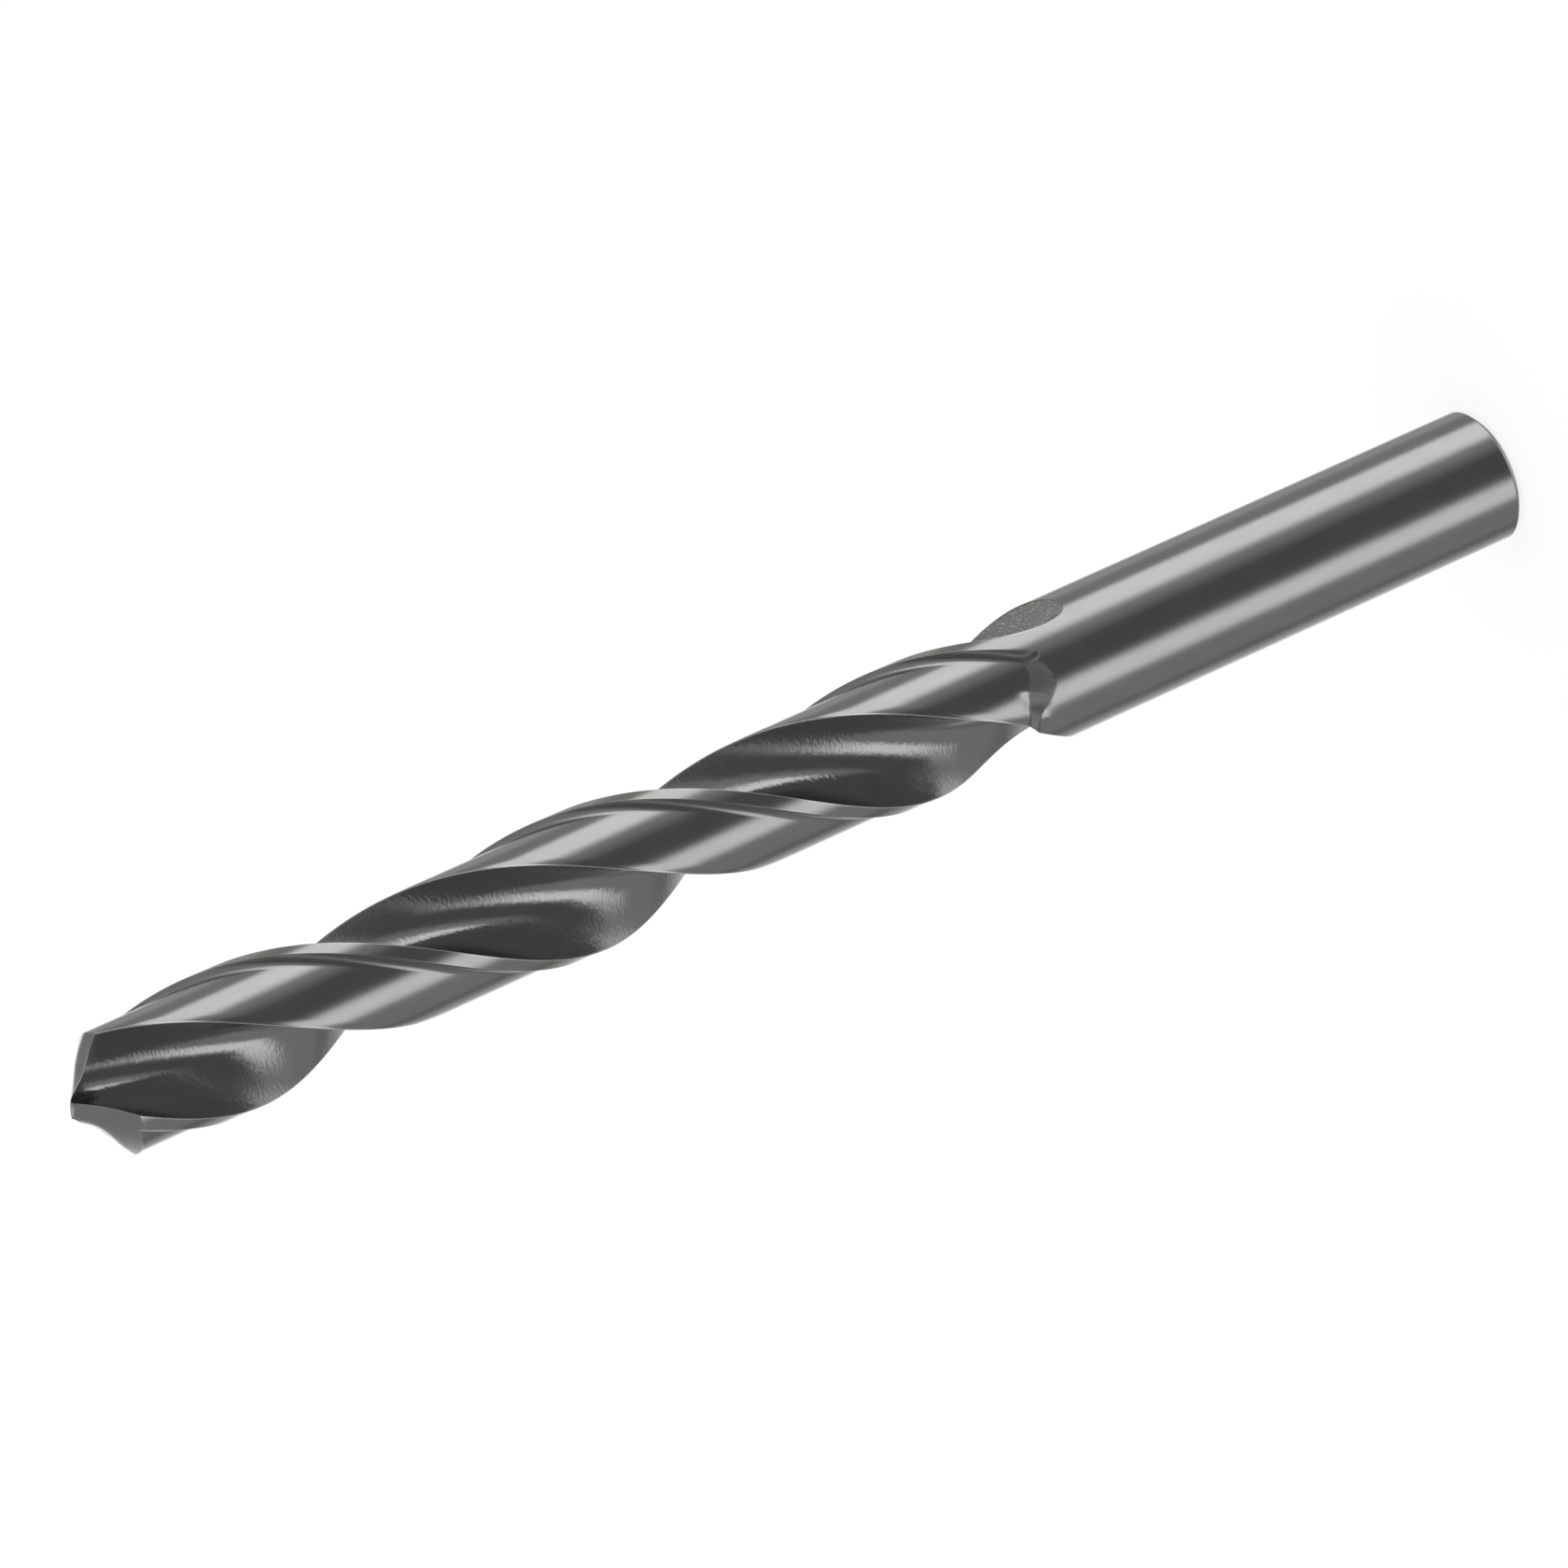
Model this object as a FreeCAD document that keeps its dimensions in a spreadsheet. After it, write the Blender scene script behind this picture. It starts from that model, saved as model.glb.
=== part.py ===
import FreeCAD, Part
import Sketcher
import math
import os
from FreeCAD import Vector

# Twist drill bit with a plain parallel shank, one solid of tool steel.
# It stands on the flat end of its shank: the origin is the centre of that face,
# +Z runs along the axis to the point, and +X runs along the first cutting lip.
# Lengths are millimetres and angles are degrees.

SIZES = {
    "drill_dia": 13.0,
    "total_length": 151.0,
    "shank_chamfer": 0.7,
    "helix_angle": 30.0,
    "point_angle": 118.0,
    "lip_offset": 0.8,
    "relief_angle": 5.0,
    "relief_radius": 11.0,
    "relief_turn": 60.0,
    "flute_length": 92.5,
    "runout_length": 11.7,
    "core_radius": 1.08,
    "root_radius": 2.8,
    "side_radius": 22.0,
    "hook_angle": 1.0,
    "land_angle": 85.7,
    "heel_angle": 15.0,
    "margin_width": 1.42,
    "step_radius": 1.3,
    "clearance_depth": 0.7,
    "clearance_length": 96.9,
    "clearance_overrun": 20.0,
    "ramp_length": 2.1,
    "ramp_overrun": 0.02,
    "cutter_overrun": 0.8,
}
RUNOUT_SECTIONS = 6

doc = FreeCAD.newDocument("twist_drill")
sheet = doc.addObject("Spreadsheet::Sheet", "sizes")
for row, (alias, value) in enumerate(SIZES.items(), start=1):
    sheet.set(f"A{row}", alias)
    sheet.set(f"B{row}", str(value))
    sheet.setAlias(f"B{row}", alias)
doc.recompute()

# Worked-out sizes, each written once as an expression on the cells of the sheet.
RADIUS = "(sizes.drill_dia / 2)"
CLEARED = f"({RADIUS} - sizes.clearance_depth)"
OUTSIDE = f"({RADIUS} + sizes.cutter_overrun)"
LEAD = "(pi * sizes.drill_dia / tan(sizes.helix_angle * 1 deg))"
FLUTE_START = "(sizes.total_length - sizes.flute_length)"
CLEARANCE_START = "(sizes.total_length - sizes.clearance_length)"
RAMP_START = f"({CLEARANCE_START} - sizes.ramp_length)"
HEEL = "(180 - sizes.land_angle)"
MARGIN_TURN = f"(sizes.margin_width / {RADIUS} * 180 / pi)"
BEHIND_HEEL = "(sizes.land_angle + sizes.clearance_overrun)"

# The relief arc leaves the lip at the relief angle and drops this far to the chisel edge.
RELIEF_UP = "(sizes.relief_radius * cos(sizes.relief_angle * 1 deg))"
RELIEF_IN = "(sizes.lip_offset + sizes.relief_radius * sin(sizes.relief_angle * 1 deg))"
LIP_RISE = f"({RELIEF_UP} - sqrt(sizes.relief_radius ^ 2 - {RELIEF_IN} ^ 2))"
LIP_HEIGHT = f"(sizes.total_length + {LIP_RISE})"
CORNER_REACH = f"sqrt({RADIUS} ^ 2 - sizes.lip_offset ^ 2)"
CORNER_HEIGHT = f"({LIP_HEIGHT} - {CORNER_REACH} / tan(sizes.point_angle * 0.5 deg))"
CORNER_TURN = f"(asin(sizes.lip_offset / {RADIUS}) / (1 deg))"
FLANK_REACH = f"({OUTSIDE} + sizes.relief_radius)"
FLANK_TOP = "(sizes.total_length + sizes.drill_dia)"

MM = "1 mm"
DEGREE = "1 deg"

# The places on one drawn line or arc, in the order in which a sketch numbers them.
PLACES = ("whole", "start", "end", "centre")
START = PLACES.index("start")
END = PLACES.index("end")
CENTRE = PLACES.index("centre")
ORIGIN = (-1, START)


def number(expression):
    """The value that an expression on the sheet has now."""
    value = sheet.evalExpression(expression)
    return float(getattr(value, "Value", value))


def edge_turn(height):
    """Expression for the angle of the first leading edge at a height above the shank's end."""
    return f"({CORNER_TURN} + 360 * ({height} - {CORNER_HEIGHT}) / {LEAD})"


body = doc.addObject("PartDesign::Body", "drill_bit")
body.Label = "drill_bit"


def new_sketch(name, role):
    """An empty sketch on one of the body's own origin planes, found by its role."""
    sketch = body.newObject("Sketcher::SketchObject", name)
    plane = [item for item in body.Origin.OriginFeatures if item.Role == role][0]
    sketch.AttachmentSupport = [(plane, "")]
    sketch.MapMode = "FlatFace"
    return sketch


def section_sketch(name, height, lift="0"):
    """A level sketch at a height, turned so that its X axis meets the first leading edge.

    A lift moves it away from the axis, along the middle of the flute.
    """
    sketch = new_sketch(name, "XY_Plane")
    turn = edge_turn(height)
    away = f"(({turn} + {HEEL} / 2) * {DEGREE})"
    sketch.AttachmentOffset = FreeCAD.Placement(
        Vector(0, 0, number(height)), FreeCAD.Rotation(Vector(0, 0, 1), number(turn))
    )
    sketch.setExpression("AttachmentOffset.Base.x", f"{lift} * cos({away}) * {MM}")
    sketch.setExpression("AttachmentOffset.Base.y", f"{lift} * sin({away}) * {MM}")
    sketch.setExpression("AttachmentOffset.Base.z", f"{height} * {MM}")
    sketch.setExpression("AttachmentOffset.Rotation.Angle", f"{turn} * {DEGREE}")
    return sketch


def drive(sketch, kind, *place, by, unit=MM):
    """Add one dimension to a sketch and bind it to an expression on the sheet."""
    scale = math.radians(1) if unit == DEGREE else 1
    index = sketch.addConstraint(Sketcher.Constraint(kind, *place, number(by) * scale))
    sketch.setExpression(f"Constraints[{index}]", f"{by} * {unit}")


def relate(sketch, kind, *place):
    """Add one geometric relation to a sketch."""
    sketch.addConstraint(Sketcher.Constraint(kind, *place))


def at_polar(radius, degrees):
    """A point in the sketch plane, from its radius and its angle."""
    angle = math.radians(degrees)
    return Vector(radius * math.cos(angle), radius * math.sin(angle), 0)


def add_line(sketch, first, last, construction=False):
    """Draw a straight line and return its index."""
    return sketch.addGeometry(Part.LineSegment(first, last), construction)


def add_arc(sketch, centre, first, last):
    """Draw an arc about a centre, counter-clockwise from the first point to the last."""
    angles = [math.atan2(point.y - centre.y, point.x - centre.x) for point in (first, last)]
    circle = Part.Circle(centre, Vector(0, 0, 1), centre.distanceToPoint(first))
    return sketch.addGeometry(Part.ArcOfCircle(circle, *angles), False)


def meeting(first, first_radius, second, second_radius):
    """The point where two circles meet, on the left of the way from the first to the second."""
    way = second - first
    gap = way.Length
    along = (first_radius ** 2 - second_radius ** 2 + gap ** 2) / (2 * gap)
    aside = math.sqrt(first_radius ** 2 - along ** 2)
    way.normalize()
    return first + way * along + Vector(-way.y, way.x, 0) * aside


def add_spoke(sketch, length, angle):
    """Draw a construction line from the origin, with its length and its angle driven."""
    spoke = add_line(sketch, Vector(), at_polar(number(length), number(angle)), True)
    relate(sketch, "Coincident", spoke, START, *ORIGIN)
    drive(sketch, "Distance", spoke, by=length)
    drive(sketch, "Angle", spoke, by=angle, unit=DEGREE)
    return spoke


def flute_section(name, height, lift="0"):
    """Section of one flute, with the leading edge of the land behind it on the X axis.

    The side runs in from the leading edge on a wide arc, the root arc touches the core,
    and a back arc runs from the root out through the heel of the land ahead.
    """
    root = number("sizes.root_radius")
    side = number("sizes.side_radius")
    outside = number(OUTSIDE)
    edge = Vector(number(RADIUS), 0, 0)
    side_turn = "(90 + sizes.hook_angle)"
    side_centre = edge + at_polar(side, number(side_turn))
    root_centre = meeting(side_centre, side - root, Vector(), number("sizes.core_radius") + root)
    side_end = side_centre + (root_centre - side_centre).normalize() * side
    side_start = meeting(side_centre, side, Vector(), outside)
    heel = at_polar(number(CLEARED), number(HEEL))
    back_turn = f"({HEEL} - 90 - sizes.heel_angle)"
    back_way = at_polar(1, number(back_turn))
    gap = heel - root_centre
    back = (root ** 2 - gap.dot(gap)) / (2 * (back_way.dot(gap) + root))
    back_centre = heel + back_way * back
    root_end = root_centre + (root_centre - back_centre).normalize() * root
    back_end = meeting(Vector(), outside, back_centre, back)

    sketch = section_sketch(name, height, lift)
    side_arc = add_arc(sketch, side_centre, side_end, side_start)
    root_arc = add_arc(sketch, root_centre, root_end, side_end)
    back_arc = add_arc(sketch, back_centre, back_end, root_end)
    rim_arc = add_arc(sketch, Vector(), side_start, back_end)
    edge_spoke = add_spoke(sketch, RADIUS, "0")
    side_spoke = add_line(sketch, edge, side_centre, True)
    heel_spoke = add_spoke(sketch, CLEARED, HEEL)
    back_spoke = add_line(sketch, heel, back_centre, True)
    relate(sketch, "Tangent", side_arc, START, root_arc, END)
    relate(sketch, "Tangent", root_arc, START, back_arc, END)
    relate(sketch, "Coincident", rim_arc, CENTRE, *ORIGIN)
    relate(sketch, "Coincident", rim_arc, START, side_arc, END)
    relate(sketch, "Coincident", rim_arc, END, back_arc, START)
    relate(sketch, "Coincident", side_spoke, START, edge_spoke, END)
    relate(sketch, "Coincident", side_spoke, END, side_arc, CENTRE)
    relate(sketch, "PointOnObject", edge_spoke, END, side_arc)
    relate(sketch, "Coincident", back_spoke, START, heel_spoke, END)
    relate(sketch, "Coincident", back_spoke, END, back_arc, CENTRE)
    relate(sketch, "PointOnObject", heel_spoke, END, back_arc)
    drive(sketch, "Radius", root_arc, by="sizes.root_radius")
    drive(sketch, "Radius", rim_arc, by=OUTSIDE)
    drive(sketch, "Distance", root_arc, CENTRE, *ORIGIN, by="(sizes.core_radius + sizes.root_radius)")
    drive(sketch, "Radius", side_arc, by="sizes.side_radius")
    drive(sketch, "Angle", side_spoke, by=side_turn, unit=DEGREE)
    drive(sketch, "Angle", back_spoke, by=back_turn, unit=DEGREE)
    return sketch


def clearance_section(name, height, outward="0"):
    """Section of the body clearance behind one margin, down to the cleared radius.

    A fillet climbs from the floor to the margin; the cut overruns the heel into the flute.
    """
    floor = f"({CLEARED} + {outward})"
    step_top = f"({RADIUS} + {outward})"
    rim = f"({OUTSIDE} + {outward})"
    fillet = number("sizes.step_radius")
    top = at_polar(number(step_top), -number(MARGIN_TURN))
    fillet_centre = meeting(top, fillet, Vector(), number(floor) + fillet)
    foot = fillet_centre * (number(floor) / fillet_centre.Length)
    climb = Vector(top.y - fillet_centre.y, fillet_centre.x - top.x, 0).normalize()
    along = climb.dot(top)
    reach = math.sqrt(along ** 2 + number(rim) ** 2 - number(step_top) ** 2) - along
    step_out = top + climb * reach
    tail_foot = at_polar(number(floor), -number(BEHIND_HEEL))
    tail_out = at_polar(number(rim), -number(BEHIND_HEEL))

    sketch = section_sketch(name, height)
    floor_arc = add_arc(sketch, Vector(), tail_foot, foot)
    fillet_arc = add_arc(sketch, fillet_centre, top, foot)
    step_line = add_line(sketch, top, step_out)
    rim_arc = add_arc(sketch, Vector(), tail_out, step_out)
    tail_line = add_line(sketch, tail_out, tail_foot)
    top_spoke = add_spoke(sketch, step_top, f"(-{MARGIN_TURN})")
    tail_spoke = add_spoke(sketch, rim, f"(-{BEHIND_HEEL})")
    relate(sketch, "Coincident", floor_arc, CENTRE, *ORIGIN)
    relate(sketch, "Coincident", rim_arc, CENTRE, *ORIGIN)
    relate(sketch, "Tangent", floor_arc, END, fillet_arc, END)
    relate(sketch, "Tangent", fillet_arc, START, step_line, START)
    relate(sketch, "Coincident", top_spoke, END, fillet_arc, START)
    relate(sketch, "Coincident", step_line, END, rim_arc, END)
    relate(sketch, "Coincident", rim_arc, START, tail_line, START)
    relate(sketch, "Coincident", tail_spoke, END, tail_line, START)
    relate(sketch, "Coincident", tail_line, END, floor_arc, START)
    relate(sketch, "PointOnObject", tail_line, END, tail_spoke)
    drive(sketch, "Radius", floor_arc, by=floor)
    drive(sketch, "Radius", fillet_arc, by="sizes.step_radius")
    return sketch


def add_helix(name, profile, height):
    """Cut one groove by carrying a section along the helix, from its sketch upwards."""
    helix = body.newObject("PartDesign::SubtractiveHelix", name)
    helix.Profile = profile
    helix.ReferenceAxis = (profile, ["N_Axis"])
    helix.Mode = 0
    helix.LeftHanded = False
    helix.Pitch = number(LEAD)
    helix.Height = number(height)
    helix.setExpression("Pitch", f"{LEAD} * {MM}")
    helix.setExpression("Height", f"{height} * {MM}")
    return helix


def add_runout(name, profile, sections, ruled):
    """Cut the end of a groove by lofting from its section through the ones below."""
    loft = body.newObject("PartDesign::SubtractiveLoft", name)
    loft.Profile = profile
    loft.Sections = sections
    loft.Ruled = ruled
    return loft


# Blank: a plain bar of the drill's own diameter, chamfered around the flat end of the shank.
radius = number(RADIUS)
chamfer = number("sizes.shank_chamfer")
length = number("sizes.total_length")
outline = [
    Vector(0, 0, 0),
    Vector(radius - chamfer, 0, 0),
    Vector(radius, chamfer, 0),
    Vector(radius, length, 0),
    Vector(0, length, 0),
]
blank_sketch = new_sketch("blank_outline", "XZ_Plane")
sides = [
    add_line(blank_sketch, point, outline[(index + 1) % len(outline)])
    for index, point in enumerate(outline)
]
end_line, chamfer_line, side_line, top_line, axis_line = sides
for index, side in enumerate(sides):
    relate(blank_sketch, "Coincident", sides[index - 1], END, side, START)
for level in (end_line, top_line):
    relate(blank_sketch, "Horizontal", level)
for upright in (side_line, axis_line):
    relate(blank_sketch, "Vertical", upright)
relate(blank_sketch, "Coincident", end_line, START, *ORIGIN)
drive(blank_sketch, "DistanceX", *ORIGIN, side_line, END, by=RADIUS)
drive(blank_sketch, "DistanceY", *ORIGIN, side_line, END, by="sizes.total_length")
drive(blank_sketch, "DistanceX", chamfer_line, START, chamfer_line, END, by="sizes.shank_chamfer")
drive(blank_sketch, "DistanceY", chamfer_line, START, chamfer_line, END, by="sizes.shank_chamfer")
blank = body.newObject("PartDesign::Revolution", "blank")
blank.Profile = blank_sketch
blank.ReferenceAxis = (blank_sketch, ["V_Axis"])
blank.Angle = 360

# Flank of the first lip. Seen along the lip it falls away from the cutting edge on an arc;
# that outline is carried along the lip's own slope, half the point angle from the axis.
lip = Vector(number("sizes.lip_offset"), number(LIP_HEIGHT), 0)
relief_centre = lip + at_polar(number("sizes.relief_radius"), number("sizes.relief_angle") - 90)
relief_end = relief_centre + at_polar(
    number("sizes.relief_radius"), number("sizes.relief_turn") + 90
)
reach = number(FLANK_REACH)
front_rise = (reach - lip.x) * math.tan(math.radians(number("sizes.relief_angle")))
back_drop = (reach + relief_end.x) * math.tan(math.radians(number("sizes.relief_turn")))
front_foot = Vector(reach, lip.y + front_rise, 0)
back_foot = Vector(-reach, relief_end.y - back_drop, 0)
back_top = Vector(-reach, number(FLANK_TOP), 0)
front_top = Vector(reach, number(FLANK_TOP), 0)
flank_sketch = new_sketch("flank_outline", "YZ_Plane")
front_line = add_line(flank_sketch, front_foot, lip)
relief_arc = add_arc(flank_sketch, relief_centre, lip, relief_end)
back_line = add_line(flank_sketch, relief_end, back_foot)
back_side = add_line(flank_sketch, back_foot, back_top)
top_side = add_line(flank_sketch, back_top, front_top)
front_side = add_line(flank_sketch, front_top, front_foot)
relate(flank_sketch, "Tangent", front_line, END, relief_arc, START)
relate(flank_sketch, "Tangent", relief_arc, END, back_line, START)
relate(flank_sketch, "Coincident", back_line, END, back_side, START)
relate(flank_sketch, "Coincident", back_side, END, top_side, START)
relate(flank_sketch, "Coincident", top_side, END, front_side, START)
relate(flank_sketch, "Coincident", front_side, END, front_line, START)
relate(flank_sketch, "Vertical", back_side)
relate(flank_sketch, "Horizontal", top_side)
relate(flank_sketch, "Vertical", front_side)
drive(flank_sketch, "DistanceX", *ORIGIN, front_line, END, by="sizes.lip_offset")
drive(flank_sketch, "DistanceY", *ORIGIN, front_line, END, by=LIP_HEIGHT)
drive(flank_sketch, "Radius", relief_arc, by="sizes.relief_radius")
drive(flank_sketch, "Angle", front_line, by="(180 + sizes.relief_angle)", unit=DEGREE)
drive(flank_sketch, "Angle", back_line, by="(180 + sizes.relief_turn)", unit=DEGREE)
drive(flank_sketch, "DistanceX", *ORIGIN, front_line, START, by=FLANK_REACH)
drive(flank_sketch, "DistanceX", back_line, END, *ORIGIN, by=FLANK_REACH)
drive(flank_sketch, "DistanceY", *ORIGIN, top_side, START, by=FLANK_TOP)
doc.recompute()
flank = body.newObject("PartDesign::Pocket", "flank")
flank.Profile = flank_sketch
flank.UseCustomVector = True
flank.Direction = Vector(
    math.sin(math.radians(number("sizes.point_angle / 2"))),
    0,
    -math.cos(math.radians(number("sizes.point_angle / 2"))),
)
flank.setExpression("Direction.x", "sin(sizes.point_angle * 0.5 deg)")
flank.setExpression("Direction.z", "-cos(sizes.point_angle * 0.5 deg)")
flank.AlongSketchNormal = True
flank.Midplane = True
flank.Length = 2 * number(OUTSIDE)
flank.setExpression("Length", f"2 * {OUTSIDE} * {MM}")

# Flute: one section along the helix for its full-depth length, and below it a run-out
# where the cutter lifts on a parabola until it leaves the blank.
flute_profile = flute_section("flute_profile", FLUTE_START)
runout_profiles = []
for step in range(1, RUNOUT_SECTIONS + 1):
    share = step / RUNOUT_SECTIONS
    runout_height = f"({FLUTE_START} - sizes.runout_length * {share})"
    runout_lift = f"(({RADIUS} - sizes.core_radius + sizes.cutter_overrun) * {share ** 2})"
    runout_profiles.append(flute_section(f"runout_profile_{step}", runout_height, runout_lift))
doc.recompute()
flute = add_helix("flute", flute_profile, "(sizes.flute_length + sizes.cutter_overrun)")
runout = add_runout("flute_runout", flute_profile, runout_profiles, False)

# Body clearance behind the margin, with a short ramp back to the full diameter.
clearance_profile = clearance_section("clearance_profile", CLEARANCE_START)
ramp_rise = "(sizes.clearance_depth + sizes.ramp_overrun)"
ramp_profile = clearance_section("ramp_profile", RAMP_START, ramp_rise)
doc.recompute()
clearance = add_helix(
    "clearance", clearance_profile, "(sizes.clearance_length + sizes.cutter_overrun)"
)
ramp = add_runout("clearance_ramp", clearance_profile, [ramp_profile], True)

# Both flutes, lands and flanks: the cuts are repeated half a turn around the axis.
pair = body.newObject("PartDesign::PolarPattern", "second_side")
pair.Originals = [flank, flute, runout, clearance, ramp]
pair.Axis = (flute_profile, ["N_Axis"])
pair.Angle = 360
pair.Occurrences = 2
body.Tip = pair
doc.recompute()

for item in doc.Objects:
    if "Invalid" in item.State or "Error" in item.State:
        raise RuntimeError(f"{item.Name} failed: {item.State}")
if body.Shape.isNull() or not body.Shape.isValid() or len(body.Shape.Solids) != 1:
    raise RuntimeError(f"{body.Label} is not one valid solid")

os.makedirs("parts", exist_ok=True)
body.Shape.exportStep(f"parts/{body.Label}.step")
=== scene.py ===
# %% [markdown]
# A twist drill bit, dressed for its picture.
#
# The real object is one bar of high-speed steel: a plain shank, two flutes that wind around a
# thin core, and a point ground by two flanks. It is coated with black oxide, so it is dark but
# shiny, and nearly all that the eye sees is the room mirrored in its curved surfaces.
#
# The construction model gives the size and the place. This script makes one finely divided skin
# over it, with softened edges, then its finish, the light and the camera.

# %% Load the construction model
import bmesh
import bpy
import math
import numpy as np
from mathutils import Matrix, Vector


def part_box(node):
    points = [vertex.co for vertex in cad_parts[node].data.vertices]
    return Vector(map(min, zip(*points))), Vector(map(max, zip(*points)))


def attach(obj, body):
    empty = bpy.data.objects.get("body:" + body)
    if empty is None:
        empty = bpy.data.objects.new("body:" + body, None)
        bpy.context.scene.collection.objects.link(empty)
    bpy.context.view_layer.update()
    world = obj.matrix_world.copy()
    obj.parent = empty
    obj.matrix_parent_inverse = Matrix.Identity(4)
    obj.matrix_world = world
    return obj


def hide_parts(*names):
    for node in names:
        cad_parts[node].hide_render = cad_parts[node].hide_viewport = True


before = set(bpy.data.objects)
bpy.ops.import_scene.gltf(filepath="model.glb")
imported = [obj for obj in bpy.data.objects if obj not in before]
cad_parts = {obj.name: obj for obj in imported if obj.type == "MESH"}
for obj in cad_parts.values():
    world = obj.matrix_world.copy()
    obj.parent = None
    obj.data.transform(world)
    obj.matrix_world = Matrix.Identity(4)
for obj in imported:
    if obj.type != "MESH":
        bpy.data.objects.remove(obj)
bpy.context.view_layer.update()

# %% [markdown]
# Sizes. The bar's radius and length are read from the construction model. The rest are the
# sizes that a toolmaker would write on the drawing: helix and point angles, margin, clearance,
# core. They are kept in millimetres here and turned into metres when the mesh is stored.

# %% Sizes of the drill, in millimetres and degrees
MM = 0.001
low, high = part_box("drill_bit")
RADIUS = (high[0] - low[0]) / 2 / MM
LENGTH = (high[2] - low[2]) / MM
HELIX = math.radians(30.0)
LEAD = 2 * math.pi * RADIUS / math.tan(HELIX)
HALF_POINT = math.radians(59.0)
LIP_OFFSET = 0.8
RELIEF = math.radians(5.0)
RELIEF_RADIUS = 11.0
HEEL_GRIND = 1.1
HEEL_GRIND_BACK = (1.6, 3.8)
HEEL_GRIND_OUT = (0.4, 2.8)
FLUTE_LENGTH = 92.5
RUNOUT_LENGTH = 12.4
WEB_AT_POINT = {"core": 0.93, "root": 2.4}
WEB_AT_SHANK = {"core": 1.40, "root": 3.6}
SIDE_RADIUS = 22.0
HOOK = math.radians(1.0)
LAND = math.radians(85.7)
HEEL_ANGLE = math.radians(18.0)
MARGIN = 1.42
STEP_RADIUS = 1.3
CLEARED = RADIUS - 0.7
CLEARANCE_LENGTH = 96.9
RAMP_FOOT = ((-90, 0.8), (-70, 0.6), (-51, 0.1), (-32, -0.6), (-19, -0.6))
RAMP_TOP = (
    (-84, 0.2), (-69, -0.4), (-61, -1.2), (-50, -1.95), (-40, -2.4), (-31, -2.5), (-17, -1.9),
)
NOTCH_PLACE, NOTCH_REACH, NOTCH_DEPTH = (-63.0, -0.1), (10.5, 1.7), 0.16
CHAMFER = 0.7
OVERRUN = 0.8
FLUTE_START = LENGTH - FLUTE_LENGTH
CLEARANCE_START = LENGTH - CLEARANCE_LENGTH
print(f"bar {2 * RADIUS:.1f} by {LENGTH:.1f} mm, one turn of the flutes in {LEAD:.1f} mm")

# %% [markdown]
# The flank of a point is the surface behind a cutting lip. Seen along the lip it starts at the
# relief angle and then falls away on an arc; along the lip it slopes by half the point angle.
# The heel is ground a little lower still, to make room for the chips. Both flanks are one
# formula, the second with x and y turned by half a turn, and the point is whichever of the two
# is lower. Where they meet they leave the chisel edge.

# %% Height of the point over the cross-section
def relief_drop(distance):
    """Drop at a distance behind the lip: an arc that is tangent to the relief angle at the lip.

    In front of the lip the tangent goes on as a straight line.
    """
    inside = RELIEF_RADIUS ** 2 - (distance + RELIEF_RADIUS * math.sin(RELIEF)) ** 2
    arc = RELIEF_RADIUS * math.cos(RELIEF) - np.sqrt(np.maximum(inside, 0.0))
    return np.where(distance > 0, arc, distance * math.tan(RELIEF))


def smooth_rise(value, low, high):
    """0 below the low value, 1 above the high one, and 3 t^2 - 2 t^3 between them."""
    share = np.clip((value - low) / (high - low), 0.0, 1.0)
    return share ** 2 * (3 - 2 * share)


def heel_drop(x, distance):
    """The heel's extra drop, which grows away from the lip and fades towards the land's rim."""
    behind = smooth_rise(distance, *HEEL_GRIND_BACK)
    return HEEL_GRIND * behind * (1 - smooth_rise(x, *HEEL_GRIND_OUT))


LIP_HEIGHT = LENGTH + float(relief_drop(np.array(LIP_OFFSET)))


def flank_height(x, y, side):
    """Height of one flank: lip height, less the slope along x and both drops behind the lip."""
    x, y = x * side, y * side
    distance = LIP_OFFSET - y
    return LIP_HEIGHT - x / math.tan(HALF_POINT) - relief_drop(distance) - heel_drop(x, distance)


def point_height(x, y):
    """The lower of the two flanks."""
    return np.minimum(flank_height(x, y, 1), flank_height(x, y, -1))


CORNER_REACH = math.sqrt(RADIUS ** 2 - LIP_OFFSET ** 2)
CORNER_HEIGHT = LIP_HEIGHT - CORNER_REACH / math.tan(HALF_POINT)
CORNER_TURN = math.asin(LIP_OFFSET / RADIUS)


def edge_turn(height):
    """Angle of the first leading edge, which grows by one full turn over each lead."""
    return CORNER_TURN + 2 * math.pi * (height - CORNER_HEIGHT) / LEAD


print(f"lip corner at {CORNER_HEIGHT:.2f} mm, lip height over the axis {LIP_HEIGHT:.2f} mm")

# %% [markdown]
# The flute's section is three arcs in a row: the wide side behind the lip, the root arc that
# touches the core, and the back arc that runs out to the heel of the land ahead. The core gets
# thicker towards the shank, for strength, while the edges stay where they are. So the section
# is worked out twice, at the point and at the shank's end of the flute, as points at even
# steps, and every height between takes a blend of the two.

# %% Section of one flute
def polar(radius, angle):
    """Points of the plane from radius and angle, as an array that ends in x and y."""
    radius, angle = np.broadcast_arrays(radius, angle)
    return np.stack([radius * np.cos(angle), radius * np.sin(angle)], axis=-1)


def arc_points(centre, first, last, count):
    """Points clockwise about a centre, from the first point to the last."""
    start = math.atan2(*(first - centre)[::-1])
    stop = math.atan2(*(last - centre)[::-1])
    if stop > start:
        stop -= 2 * math.pi
    return centre + polar(np.linalg.norm(first - centre), np.linspace(start, stop, count))


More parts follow.
